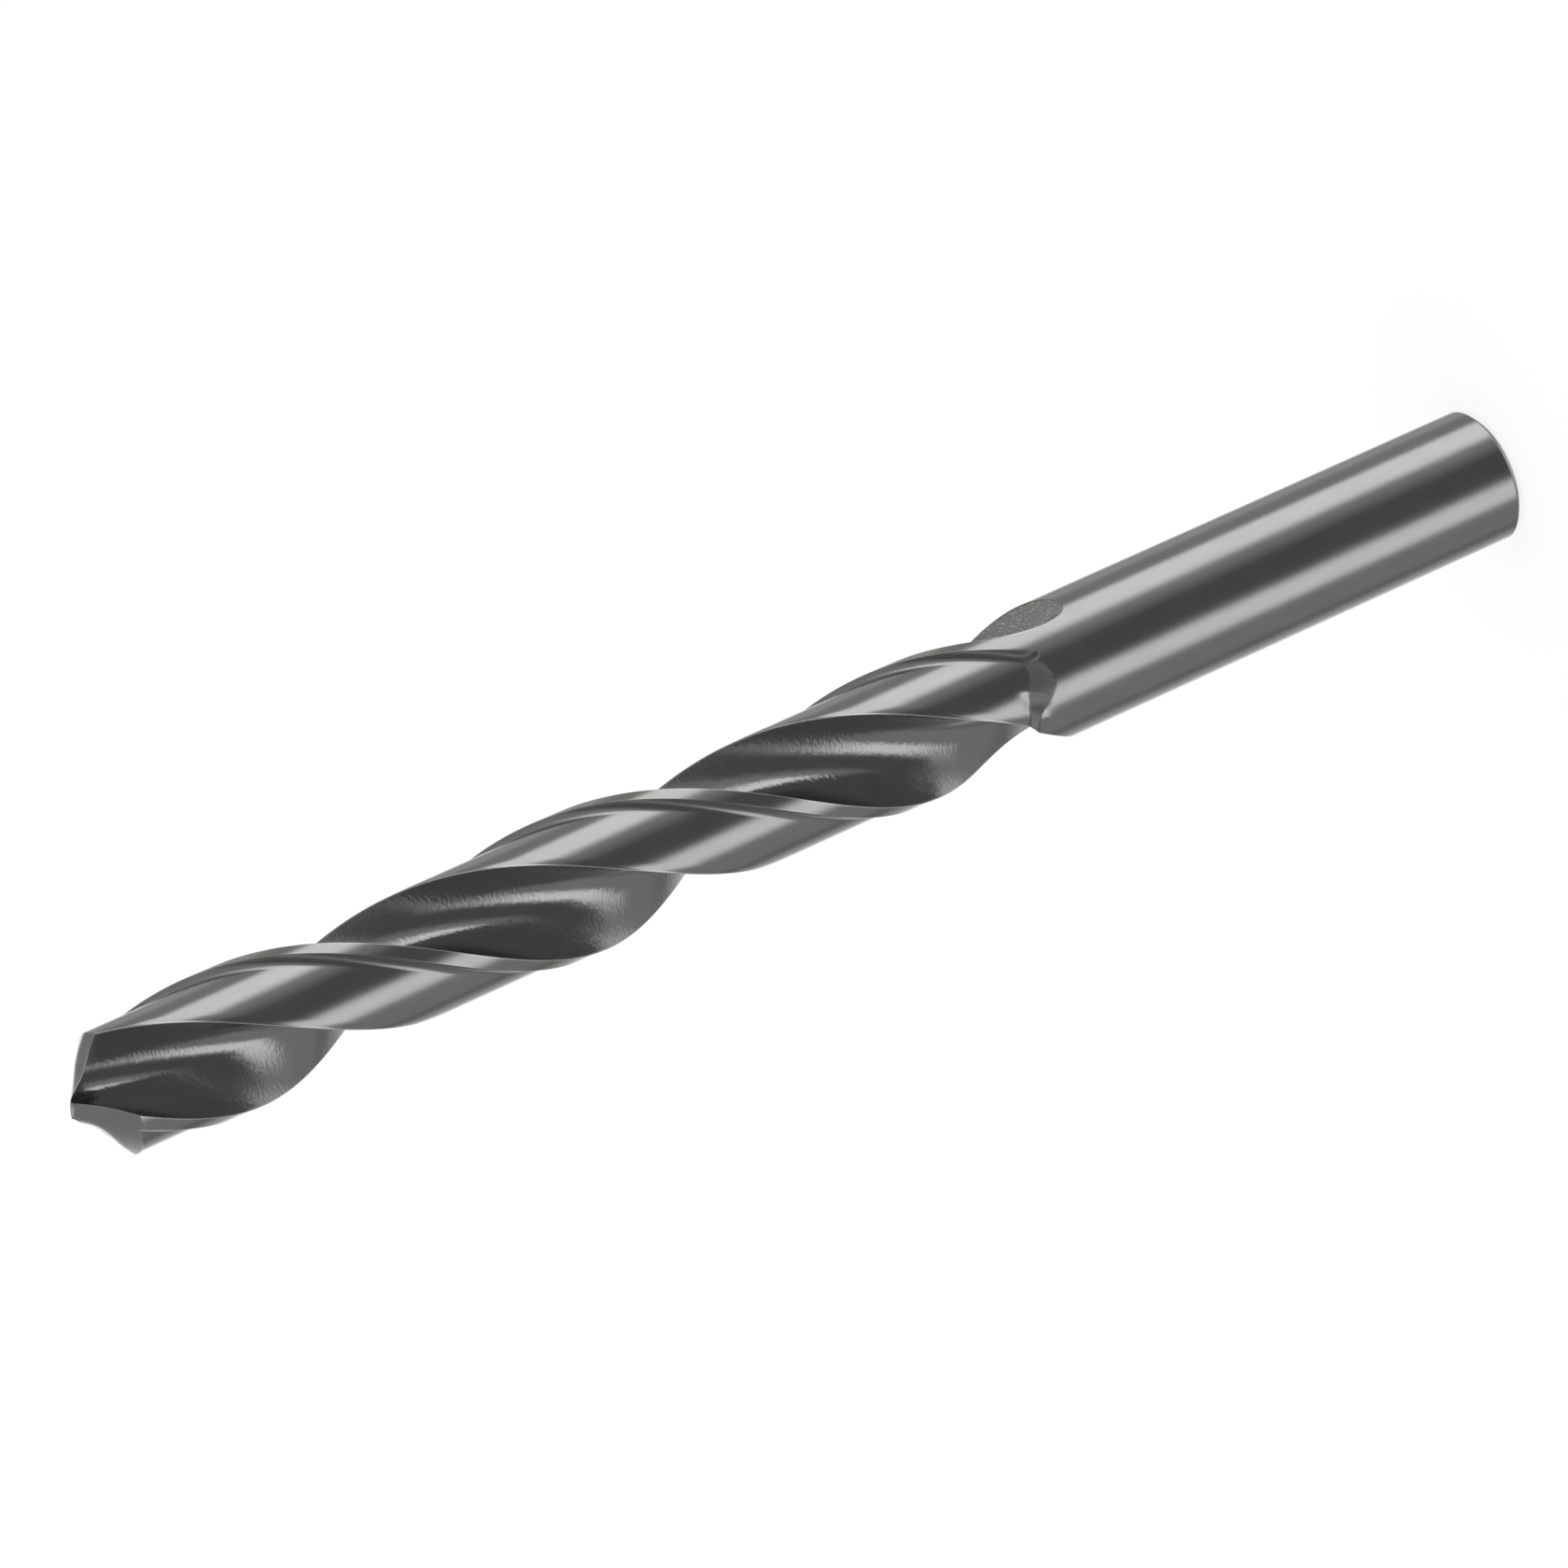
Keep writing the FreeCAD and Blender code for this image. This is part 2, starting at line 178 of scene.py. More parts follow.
def meeting(first, first_radius, second, second_radius):
    """Where two circles meet, on the left of the way from the first centre to the second."""
    way = second - first
    gap = np.linalg.norm(way)
    along = (first_radius ** 2 - second_radius ** 2 + gap ** 2) / (2 * gap)
    aside = math.sqrt(first_radius ** 2 - along ** 2)
    way = way / gap
    return first + way * along + np.array([-way[1], way[0]]) * aside


def flute_curve(core, root, count=600):
    """The whole section of a flute, from outside its leading edge to outside its heel.

    The side's centre is square to its direction at the edge. The root arc's circle touches
    the core and the side; the back arc is tangent to it and meets the heel at its angle.
    """
    middle = np.zeros(2)
    outside = RADIUS + OVERRUN
    side_centre = np.array([RADIUS, 0.0]) + polar(SIDE_RADIUS, math.pi / 2 + HOOK)
    root_centre = meeting(side_centre, SIDE_RADIUS - root, middle, core + root)
    towards = (root_centre - side_centre) / np.linalg.norm(root_centre - side_centre)
    side_end = side_centre + towards * SIDE_RADIUS
    side_start = meeting(side_centre, SIDE_RADIUS, middle, outside)
    heel = polar(CLEARED, math.pi - LAND)
    back_way = polar(1.0, math.pi / 2 - LAND - HEEL_ANGLE)
    gap = heel - root_centre
    back = (root ** 2 - gap @ gap) / (2 * (back_way @ gap + root))
    back_centre = heel + back_way * back
    towards = (root_centre - back_centre) / np.linalg.norm(root_centre - back_centre)
    root_end = root_centre + towards * root
    back_end = meeting(middle, outside, back_centre, back)
    side_part = arc_points(side_centre, side_start, side_end, count)
    root_part = arc_points(root_centre, side_end, root_end, count)
    back_part = arc_points(back_centre, root_end, back_end, count)
    curve = np.vstack([side_part, root_part[1:], back_part[1:]])
    run = np.concatenate([[0.0], np.cumsum(np.linalg.norm(np.diff(curve, axis=0), axis=1))])
    even = np.linspace(0.0, run[-1], 4 * count)
    return np.stack([np.interp(even, run, curve[:, axis]) for axis in range(2)], axis=-1), even


CURVE_AT_POINT, RUN_AT_POINT = flute_curve(**WEB_AT_POINT)
CURVE_AT_SHANK, RUN_AT_SHANK = flute_curve(**WEB_AT_SHANK)
CURVE_RUN = (RUN_AT_POINT + RUN_AT_SHANK) / 2


def blend(height, at_point, at_shank):
    """A straight blend by height between two arrays, from the flute's start to the point."""
    share = np.clip((height - FLUTE_START) / FLUTE_LENGTH, 0.0, 1.0)[..., None]
    return at_shank + (at_point - at_shank) * share


print(f"flute section: {CURVE_RUN[-1]:.2f} mm around")

# %% [markdown]
# Lower down the cutter lifts out of the bar. The same section then moves outwards along the
# middle of the flute, and only the part of it that is still inside the bar is left. For any
# height this gives two places along the section: where the flute begins and where it ends.
#
# The land behind the margin is cleared by a grinding wheel, which leaves the bar a few
# millimetres below the end of the flutes' full depth and makes a short ramp there. The ramp's
# foot and top are given as pairs of an angle, below zero behind the leading edge, and a height
# above the end of the clearance. The wheel also touched once too deep there and left a scoop.

# %% Where the flute cuts the bar at each height
MIDDLE = polar(1.0, (math.pi - LAND) / 2)
LIFT_STEPS = 4000


def lift(height):
    """How far the cutter has lifted: a parabola that starts level at the flute's full depth."""
    below = np.maximum(FLUTE_START - height, 0.0) / RUNOUT_LENGTH
    return (RADIUS - WEB_AT_SHANK["core"] + OVERRUN) * below ** 2


def ramp_share(height, turn):
    """0 where the land is cleared, 1 where it is back at the full radius, straight between."""
    degrees = np.degrees(turn)
    foot = CLEARANCE_START + np.interp(degrees, *zip(*RAMP_FOOT))
    top = CLEARANCE_START + np.interp(degrees, *zip(*RAMP_TOP))
    return np.clip((foot - height) / (foot - top), 0.0, 1.0)


def land_radius(height, turn):
    """Radius of the land at a height and an angle behind the leading edge."""
    return CLEARED + (RADIUS - CLEARED) * ramp_share(height, turn)


def notch_dip(height, turn):
    """Depth of the scoop: (1 - u^2) across it and (1 - v^2)^2 along it, times its full depth."""
    across = (np.degrees(turn) - NOTCH_PLACE[0]) / NOTCH_REACH[0]
    along = (height - CLEARANCE_START - NOTCH_PLACE[1]) / NOTCH_REACH[1]
    return NOTCH_DEPTH * np.maximum(1.0 - across ** 2, 0.0) * np.maximum(1.0 - along ** 2, 0.0) ** 2


def lifted(height, points):
    """Points of the section, one row for each height, moved out by the lift."""
    return points + lift(height)[:, None, None] * MIDDLE


def crossing(radii, limit, forward):
    """Run along the section at which its radius first falls below a limit, from either end."""
    inside = radii < limit[:, None]
    if not forward:
        inside = inside[:, ::-1]
    first = np.argmax(inside, axis=1)
    if not forward:
        first = radii.shape[1] - 1 - first
    before = first - 1 if forward else first + 1
    rows = np.arange(len(radii))
    near, far = radii[rows, first], radii[rows, before]
    share = (limit - near) / (far - near)
    return CURVE_RUN[first] + (CURVE_RUN[before] - CURVE_RUN[first]) * share


def flute_span(height):
    """Start and end of the flute along its section, for an array of heights."""
    section = blend(height[:, None], CURVE_AT_POINT[None], CURVE_AT_SHANK[None])
    radii = np.linalg.norm(lifted(height, section), axis=-1)
    start = crossing(radii, np.full(len(height), RADIUS), True)
    end = crossing(radii, land_radius(height, -LAND), False)
    return start, end


def runout_end():
    """Height at which the lifted section just leaves the bar."""
    steps = np.linspace(FLUTE_START, FLUTE_START - RUNOUT_LENGTH, LIFT_STEPS)
    nearest = [
        np.linalg.norm(CURVE_AT_SHANK + lift(step) * MIDDLE, axis=1).min() for step in steps
    ]
    return float(np.interp(RADIUS, nearest, steps))


RUNOUT_END = runout_end()
print(f"the flutes end {RUNOUT_END:.2f} mm above the shank's end")

# %% [markdown]
# The skin is a grid. Its columns are places around the section, and its rows climb from the
# shank to the point. Each edge of the drill is a column of its own with two more columns close
# by, so that it can be softened by a small radius while the faces beside it stay true.

# %% Columns around the section
LAND_COLUMNS, STEP_COLUMNS, MARGIN_COLUMNS, FLUTE_COLUMNS = 40, 9, 8, 84
HEEL_ROUND, EDGE_ROUND, STEP_ROUND = 0.16, 0.05, 0.05
HEEL_ROLL, HEEL_FALL = 0.9, 0.05
MOST_ROUND = 0.25
LAND_SPACING = 1.15
STEP_SPAN = (0.08, 0.94)
FOOT_TURN = math.radians(-22.3)
ROUND_COLUMNS = 3


def soften(before, corner, after):
    """Three points of a quadratic curve that replaces a corner."""
    share = np.linspace(0.0, 1.0, ROUND_COLUMNS + 2)[1:-1, None]
    start, middle, end = before[:, None], corner[:, None], after[:, None]
    return start * (1 - share) ** 2 + middle * 2 * share * (1 - share) + end * share ** 2


def half_section(height):
    """Half of the section for each height, from one heel to the next, leading edge at angle 0.

    The land follows its radius and rolls off a little towards the heel. A fillet climbs from
    it to the margin, which follows the full radius, and the flute follows its lifted section
    between its two crossings.
    """
    start, end = flute_span(height)
    span = np.maximum(end - start, 0.0)
    heel_gap = np.minimum(HEEL_ROUND, MOST_ROUND * span)
    edge_gap = np.minimum(EDGE_ROUND, MOST_ROUND * span)

    def on_flute(run):
        """Points of the lifted section at runs along it, one row of runs for each height."""
        ends = [
            np.stack([np.interp(run, CURVE_RUN, curve[:, axis]) for axis in range(2)], axis=-1)
            for curve in (CURVE_AT_POINT, CURVE_AT_SHANK)
        ]
        return lifted(height, blend(height[:, None], *ends))

    edge = on_flute(start[:, None])[:, 0]
    heel = on_flute(end[:, None])[:, 0]
    edge_turned = np.arctan2(edge[:, 1], edge[:, 0])
    heel_turned = np.arctan2(heel[:, 1], heel[:, 0]) - math.pi
    land = land_radius(height, FOOT_TURN)
    fillet_out = land + STEP_RADIUS
    fillet_cosine = (fillet_out ** 2 + RADIUS ** 2 - STEP_RADIUS ** 2) / (2 * fillet_out * RADIUS)
    foot_turn = -MARGIN / RADIUS - np.arccos(np.clip(fillet_cosine, -1.0, 1.0))
    fillet_centre = polar(fillet_out, foot_turn)
    step_foot = polar(land, foot_turn)
    step_top = polar(RADIUS, np.full(len(height), -MARGIN / RADIUS))

    first = heel_turned + heel_gap / CLEARED
    last = foot_turn - STEP_ROUND / RADIUS
    share = np.linspace(0.0, 1.0, LAND_COLUMNS) ** LAND_SPACING
    turns = first[:, None] + (last - first)[:, None] * share
    past_roll = np.clip((turns - first[:, None]) * RADIUS / HEEL_ROLL, 0.0, 1.0)
    fall = HEEL_FALL * (1 - past_roll) ** 2 * (1 - ramp_share(height, -LAND))[:, None]
    rise = land_radius(height[:, None], turns) - notch_dip(height[:, None], turns)
    land_part = polar(rise - fall, turns)
    share = np.linspace(*STEP_SPAN, STEP_COLUMNS)[:, None]
    from_foot, from_top = step_foot - fillet_centre, step_top - fillet_centre
    ways = from_foot[:, None] * (1 - share) + from_top[:, None] * share
    length = np.maximum(np.linalg.norm(ways, axis=-1, keepdims=True), 1e-9)
    step_part = fillet_centre[:, None] + ways * STEP_RADIUS / length
    first = (STEP_ROUND - MARGIN) / RADIUS
    last = edge_turned - edge_gap / RADIUS
    share = np.linspace(0.0, 1.0, MARGIN_COLUMNS)
    margin_part = polar(RADIUS, first + (last - first)[:, None] * share)
    share = np.linspace(0.0, 1.0, FLUTE_COLUMNS)
    run = (start + edge_gap)[:, None] + (span - edge_gap - heel_gap)[:, None] * share
    flute_part = on_flute(run)
    heel_before = -flute_part[:, -1]
    parts = [
        soften(heel_before, -heel, land_part[:, 0]),
        land_part,
        soften(land_part[:, -1], step_foot, step_part[:, 0]),
        step_part,
        soften(step_part[:, -1], step_top, margin_part[:, 0]),
        margin_part,
        soften(margin_part[:, -1], edge, flute_part[:, 0]),
        flute_part,
    ]
    return np.concatenate(parts, axis=1)


# %% [markdown]
# Above the run-out every row is a share of the way up to the point, so the last row lies
# exactly on the flanks. The height of a column at the point depends on where the twist has
# carried it, so it is found by a few rounds of averaging. Below, rows lie closer together
# where the flute closes, and the shank's rows keep the angle that the last of them had.

# %% Rows from the point down to the shank's end
BODY_ROWS, RUNOUT_ROWS, RAMP_ROWS = 110, 34, 30
RIM_SHARES = (1.0, 0.9993, 0.998, 0.9955)
BODY_SHARE = 0.991
RIM_ROUNDS = 30
RAMP_SPARE = 0.2
PAST_END = 1e-6
SHANK_ROUND = (0.03, 0.12)
END_ROUND = (0.08, 0.06)


def section_at(heights):
    """The full section at each height, both halves, still unturned."""
    half = half_section(heights)
    return np.concatenate([half, -half], axis=1)


def turned(section, heights):
    """A section turned to its place on the helix, as points in space."""
    angle = edge_turn(heights)
    x = section[..., 0] * np.cos(angle) - section[..., 1] * np.sin(angle)
    y = section[..., 0] * np.sin(angle) + section[..., 1] * np.cos(angle)
    return np.stack([x, y, np.broadcast_to(heights, x.shape)], axis=-1)


def point_rim(at_point, at_shank):
    """Height at which each column of the blended section meets the flanks."""
    heights = np.full(len(at_point), CORNER_HEIGHT)
    for _ in range(RIM_ROUNDS):
        place = turned(blend(heights, at_point, at_shank), heights)
        heights = 0.5 * heights + 0.5 * point_height(place[..., 0], place[..., 1])
    return heights


def body_rows():
    """Rows of the fluted body: blended section, height a straight share from start to rim."""
    at_point, at_shank = section_at(np.array([LENGTH, FLUTE_START]))
    rim = point_rim(at_point, at_shank)
    share = np.concatenate([RIM_SHARES, np.linspace(BODY_SHARE, 0.0, BODY_ROWS)])[:, None]
    heights = FLUTE_START + (rim - FLUTE_START)[None] * share
    return turned(blend(heights, at_point[None], at_shank[None]), heights)


def runout_rows():
    """Rows of the run-out, closer together where the flute closes to nothing."""
    share = np.sin(np.linspace(0.0, math.pi / 2, RUNOUT_ROWS + 1)[1:])
    closing = FLUTE_START + (RUNOUT_END - FLUTE_START) * share
    closing[-1] += PAST_END
    lowest = CLEARANCE_START + min(offset for _, offset in RAMP_TOP) - RAMP_SPARE
    highest = CLEARANCE_START + max(offset for _, offset in RAMP_FOOT) + RAMP_SPARE
    outside = closing[(closing < lowest) | (closing > highest)]
    heights = np.sort(np.concatenate([outside, np.linspace(lowest, highest, RAMP_ROWS)]))[::-1]
    return turned(section_at(heights), heights[:, None])


def shank_rows(last):
    """Rows of the shank: the last row's directions at the shank's radius, chamfer and centre."""
    way = last[:, :2] / np.linalg.norm(last[:, :2], axis=1, keepdims=True)
    profile = [
        (RADIUS, 0.75 * RUNOUT_END),
        (RADIUS, 0.5 * RUNOUT_END),
        (RADIUS, 0.25 * RUNOUT_END),
        (RADIUS, CHAMFER + SHANK_ROUND[1]),
        (RADIUS - SHANK_ROUND[0], CHAMFER),
        (RADIUS - CHAMFER + SHANK_ROUND[0], END_ROUND[1]),
        (RADIUS - CHAMFER - END_ROUND[0], 0.0),
        (0.55 * RADIUS, 0.0),
        (0.0, 0.0),
    ]
    return np.array([
        np.column_stack([way * radius, np.full(len(way), height)]) for radius, height in profile
    ])


body = body_rows()
runout = runout_rows()
shank = shank_rows(runout[-1])
skin = np.concatenate([body, runout, shank])
print(f"skin of {skin.shape[0]} rows by {skin.shape[1]} columns")

# %% [markdown]
# The two flanks close the point. Each fills the part of the rim that runs from one end of the
# chisel edge around its land to the other end. Its points lie between the rim and the chisel
# edge in plan, and their height comes from the flank's own formula, so the chisel edge comes
# out as the crease where both formulas agree. The heel's grind reaches the last tenth of a
# millimetre at each end of it, and leaves a slit there of less than 0.01 mm.

# %% Flanks of the point
FLANK_SHARES = np.concatenate([[0.0, 0.008, 0.02, 0.045], np.linspace(0.09, 1.0, 11)])


def chisel_x(y):
    """Place of the chisel edge: the x at which both flanks meet, without the heel's grind."""
    drops = relief_drop(LIP_OFFSET + y) - relief_drop(LIP_OFFSET - y)
    return 0.5 * math.tan(HALF_POINT) * drops


def flank_cap(rim, side):
    """Grid from half of the rim to the chisel edge, on the flank's height formula."""
    own = flank_height(rim[:, 0], rim[:, 1], side) <= flank_height(rim[:, 0], rim[:, 1], -side)
    first = np.flatnonzero(own & ~np.roll(own, 1))[0]
    edge = rim[(first + np.arange(len(rim) // 2 + 1)) % len(rim)]
    along = np.linspace(0.0, 1.0, len(edge))[:, None]
    spine = edge[0, :2] * (1 - along) + edge[-1, :2] * along
    spine[1:-1, 0] = chisel_x(spine[1:-1, 1])
    share = FLANK_SHARES[:, None, None]
    plan = edge[None, :, :2] * (1 - share) + spine[None] * share
    height = flank_height(plan[..., 0], plan[..., 1], side)
    height[0] = edge[:, 2]
    height[:, [0, -1]] = edge[[0, -1], 2]
    return np.concatenate([plan, height[..., None]], axis=-1)


flanks = [flank_cap(skin[0], side) for side in (1, -1)]
print("points of one flank:", flanks[0].shape[:2])
print(f"top of the point: {flanks[0][..., 2].max():.3f} mm")

# %% [markdown]
# What a finish needs to know about its place is stored on the points: whether they lie in a
# flute, whether the wheel left them coarse, and how close the nearest edge is, because the edges
# are painted lighter, partly as wear where bare steel shows and partly as a painted highlight.
# Points on a true cylinder are noted too, so that the mirrored light runs over them in straight
# bands.

# %% Notes for the finish
HALF_COLUMNS = skin.shape[1] // 2
SOFT = ROUND_COLUMNS
PART_COLUMNS = [SOFT, LAND_COLUMNS, SOFT, STEP_COLUMNS, SOFT, MARGIN_COLUMNS, SOFT, FLUTE_COLUMNS]
PART_STARTS = np.cumsum([0] + PART_COLUMNS[:-1])
EDGE_COLUMNS = PART_STARTS[[0, 2, 4, 6]] + SOFT // 2
in_flute = np.zeros(HALF_COLUMNS)
in_flute[PART_STARTS[7]:] = 1.0
in_flute = np.tile(in_flute, 2)
# Reach and strength of the lighter edge colour at each edge: partly wear, partly a painted
# highlight.
WEAR_AND_HIGHLIGHT_REACH = 0.12
HEEL_WEAR_AND_HIGHLIGHT, FOOT_WEAR_AND_HIGHLIGHT, STEP_WEAR_AND_HIGHLIGHT, LIP_WEAR_AND_HIGHLIGHT, RIM_WEAR_AND_HIGHLIGHT = 1.0, 0.0, 0.4, 0.8, 0.8
WEAR_AND_HIGHLIGHT_FADE = (2.0, 6.0)
COARSE_TAIL = (4.0, 8.0)
RAMP_ABOVE, RAMP_BELOW, RAMP_EDGE = 1.0, 2.6, 0.02
NEAR = 1e-4


def edge_wear_and_highlight(points):
    """Wear and painted highlight near the edges of each row: the strength of the edge, falling off
    with the distance.

    The heel and the leading edge get it as far as the flute reaches, the top of the step a
    little and only where there is a step, and its foot not at all.
    """
    height = points[:, 0, 2]
    nearest, farthest = WEAR_AND_HIGHLIGHT_FADE
    flute_open = np.clip((height - RUNOUT_END - nearest) / (farthest - nearest), 0.0, 1.0)
    stepped = 1 - ramp_share(height, FOOT_TURN)
    strength = np.stack([
        HEEL_WEAR_AND_HIGHLIGHT * flute_open, FOOT_WEAR_AND_HIGHLIGHT * stepped, STEP_WEAR_AND_HIGHLIGHT * stepped, LIP_WEAR_AND_HIGHLIGHT * flute_open,
    ], axis=1)
    strength = np.concatenate([strength, strength], axis=1)
    edges = points[:, np.concatenate([EDGE_COLUMNS, EDGE_COLUMNS + HALF_COLUMNS])]
    gaps = np.linalg.norm(points[:, :, None] - edges[:, None], axis=-1)
    return (strength[:, None] * np.exp(-gaps / WEAR_AND_HIGHLIGHT_REACH)).max(axis=2)


def rim_wear_and_highlight(points):
    """Wear and painted highlight near the rim of the point, from the distance within each column.
    """
    return RIM_WEAR_AND_HIGHLIGHT * np.exp(-np.linalg.norm(points - points[:1], axis=-1) / WEAR_AND_HIGHLIGHT_REACH)


def coarse_places(points):
    """1 on the ramp that ends the clearance and in the flutes' last few millimetres."""
    height = points[..., 2]
    turn = np.arctan2(points[..., 1], points[..., 0]) - edge_turn(height)
    turn = (turn + math.pi / 2) % math.pi - math.pi / 2
    turn = np.where(turn > 0, turn - math.pi, turn)
    share = ramp_share(height, turn)
    on_ramp = (share > RAMP_EDGE) & (share < 1 - RAMP_EDGE) & (in_flute == 0) & (turn < FOOT_TURN)
    tail = smooth_rise(FLUTE_START - height, *COARSE_TAIL) * in_flute
    return np.maximum(on_ramp, tail)


def on_cylinder(points):
    """1 where a point of the land or the margin lies on a true cylinder, away from its ends."""
    radius = np.linalg.norm(points[..., :2], axis=-1)
    height = points[..., 2]
    under_rim = (np.arange(len(points)) > 0)[:, None]
    above = (height > CLEARANCE_START + RAMP_ABOVE) & under_rim
    below = (height < CLEARANCE_START - RAMP_BELOW) & (height > CHAMFER + SHANK_ROUND[0])
    full = (np.abs(radius - RADIUS) < NEAR) & (above | below)
    cleared = (np.abs(radius - CLEARED) < NEAR) & above
    return ((full | cleared) & (in_flute == 0)).astype(float)


skin_notes = {
    # Lighter edges: partly wear, partly a painted highlight.
    "wear_and_highlight": np.maximum(edge_wear_and_highlight(skin), rim_wear_and_highlight(skin)),
    "flute": np.broadcast_to(in_flute, skin.shape[:2]),
    "round": on_cylinder(skin),
    "coarse": coarse_places(skin),
}
print("edge columns:", EDGE_COLUMNS, "of", HALF_COLUMNS)

# %% [markdown]
# The grids become one closed mesh. Neighbouring columns and rows give four-sided faces, the
# first and last column are joined, and points that fall together, such as the closed end of a
# flute, the middle of the shank's end and the rim, are merged.

# %% One closed mesh
MERGED_BELOW, NO_LENGTH = 1e-7, 1e-8
SHARP_ANGLE = math.radians(32.0)


def grid_quads(rows, columns, first, closed):
    """Corner numbers of the quads of a grid, counter-clockwise seen from outside."""
    row = np.arange(rows - 1)[:, None]
    column = np.arange(columns if closed else columns - 1)[None]
    after = (column + 1) % columns
    corners = [row * columns + column, (row + 1) * columns + column]
    corners += [(row + 1) * columns + after, row * columns + after]
    return first + np.stack(corners, axis=-1).reshape(-1, 4)


def closed_mesh(name, grids, notes):
    """A mesh of several grids with their notes, merged where points coincide."""
    points = np.concatenate([grid.reshape(-1, 3) for grid, _ in grids]) * MM
    faces = []
    first = 0
    for grid, closed in grids:
        faces.append(grid_quads(*grid.shape[:2], first, closed))
        first += grid.shape[0] * grid.shape[1]
    mesh = bpy.data.meshes.new(name)
    mesh.from_pydata(points.tolist(), [], np.concatenate(faces).tolist())
    for note, values in notes.items():
        layer = mesh.attributes.new(note, "FLOAT", "POINT")
        layer.data.foreach_set("value", np.ascontiguousarray(values, dtype=np.float32))
    work = bmesh.new()
    work.from_mesh(mesh)
    bmesh.ops.remove_doubles(work, verts=work.verts, dist=MERGED_BELOW)
    bmesh.ops.dissolve_degenerate(work, edges=work.edges, dist=NO_LENGTH)
    bmesh.ops.recalc_face_normals(work, faces=work.faces)
    work.to_mesh(mesh)
    open_edges = sum(1 for edge in work.edges if not edge.is_manifold)
    work.free()
    print(f"{name}: {len(mesh.vertices)} points, {len(mesh.polygons)} faces")
    print(f"{name}: {open_edges} open edges")
    return mesh


def flank_note(note, flank):
    """A note for the points of a flank: wear and painted highlight near its rim, and 0 for all the
    others.
    """
    return rim_wear_and_highlight(flank) if note == "wear_and_highlight" else np.zeros(flank.shape[:2])


notes = {}
for note, values in skin_notes.items():
    grids = [values] + [flank_note(note, flank) for flank in flanks]
    notes[note] = np.concatenate([grid.ravel() for grid in grids])
surfaces = [(skin, True)] + [(flank, False) for flank in flanks]
drill_mesh = closed_mesh("drill_skin", surfaces, notes)
drill_mesh.shade_smooth()
drill_mesh.set_sharp_from_angle(angle=SHARP_ANGLE)


def true_normals(mesh):
    """Radial normals for the points noted as round, and zero for the rest.

    Zero means that the mesh works the normal out by itself.
    """
    points = np.empty(3 * len(mesh.vertices))
    mesh.vertices.foreach_get("co", points)
    points = points.reshape(-1, 3)
    is_round = np.empty(len(points))
    mesh.attributes["round"].data.foreach_get("value", is_round)
    is_round = is_round == 1.0
    normals = np.zeros_like(points)
    normals[is_round, :2] = points[is_round, :2]
    normals[is_round] /= np.linalg.norm(normals[is_round], axis=1, keepdims=True)
    return normals


drill_mesh.normals_split_custom_set_from_vertices(true_normals(drill_mesh).tolist())
drill = bpy.data.objects.new("drill_skin", drill_mesh)
bpy.context.scene.collection.objects.link(drill)
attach(drill, "root")
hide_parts("drill_bit")

# %% [markdown]
# The finish. Black oxide is a thin dark layer on ground steel, so it mirrors like metal but
# keeps only a quarter of the light. Three things make it look real:
#
# - fine grinding marks, as a bump that changes quickly along the bar and slowly around it. On
#   the shank and lands they are shallow and only feather the edges of the bands of light. In
#   the flutes the cutter left deeper ripples;
# - a little unevenness of tone, as the layer is never quite even, and a coarser, paler finish
#   on the ramp and at the end of the flutes, where the wheel left the bar, with pale flecks
#   where it tore the steel;
# - bright lines on the edges, partly where the layer is worn off and bare steel shows, and partly
#   a painted highlight along them.
#
# Each grain is given as its size around the bar and its size along it, both in millimetres, and
# the detail of its noise. The depths scale the height of the bump.

# %% Black oxide
def math_node(tree, operation, *values):
    """A math node whose inputs are numbers or the outputs of other nodes."""
    node = tree.nodes.new("ShaderNodeMath")
    node.operation = operation
    for socket, value in zip(node.inputs, values):
        if isinstance(value, bpy.types.NodeSocket):
            tree.links.new(value, socket)
        else:
            socket.default_value = value
    return node.outputs[0]


def noted(tree, name):
    """One of the notes that are stored on the points."""
    node = tree.nodes.new("ShaderNodeAttribute")
    node.attribute_name = name
    return node.outputs["Fac"]


def grain(tree, around, along, detail):
    """Noise with a size around the bar and another along it, both in millimetres."""
    place = tree.nodes.new("ShaderNodeTexCoord").outputs["Object"]
    mapping = tree.nodes.new("ShaderNodeMapping")
    mapping.inputs["Scale"].default_value = (1 / (around * MM), 1 / (around * MM), 1 / (along * MM))
    noise = tree.nodes.new("ShaderNodeTexNoise")
    noise.inputs["Scale"].default_value = 1.0
    noise.inputs["Detail"].default_value = detail
    tree.links.new(place, mapping.inputs["Vector"])
    tree.links.new(mapping.outputs["Vector"], noise.inputs["Vector"])
    return noise.outputs["Fac"]


def mixed(tree, share, first, second):
    """A straight mix of two values, first where the share is 0."""
    change = math_node(tree, "SUBTRACT", second, first)
    return math_node(tree, "ADD", math_node(tree, "MULTIPLY", change, share), first)


METAL_SHARE = 0.96
# The last tone is the edges' lighter colour: partly bare steel where the oxide is worn, partly a
# painted highlight.
OXIDE_TONE, COARSE_TONE, FLECK_TONE, BARE_AND_HIGHLIGHT_TONE = 0.25, 0.31, 0.55, 0.55
LEAST_OXIDE, MOST_OXIDE = 0.9 * OXIDE_TONE, 1.1 * OXIDE_TONE
WARMTH = (1.0, 1.0, 0.975)
GRIND_DEPTH, RIPPLE_DEPTH, COARSE_DEPTH = 0.35, 3.4, 9.0
BUMP_DISTANCE = 0.01
FLECK_LEVEL, FLECK_EDGE = 0.54, 9.0
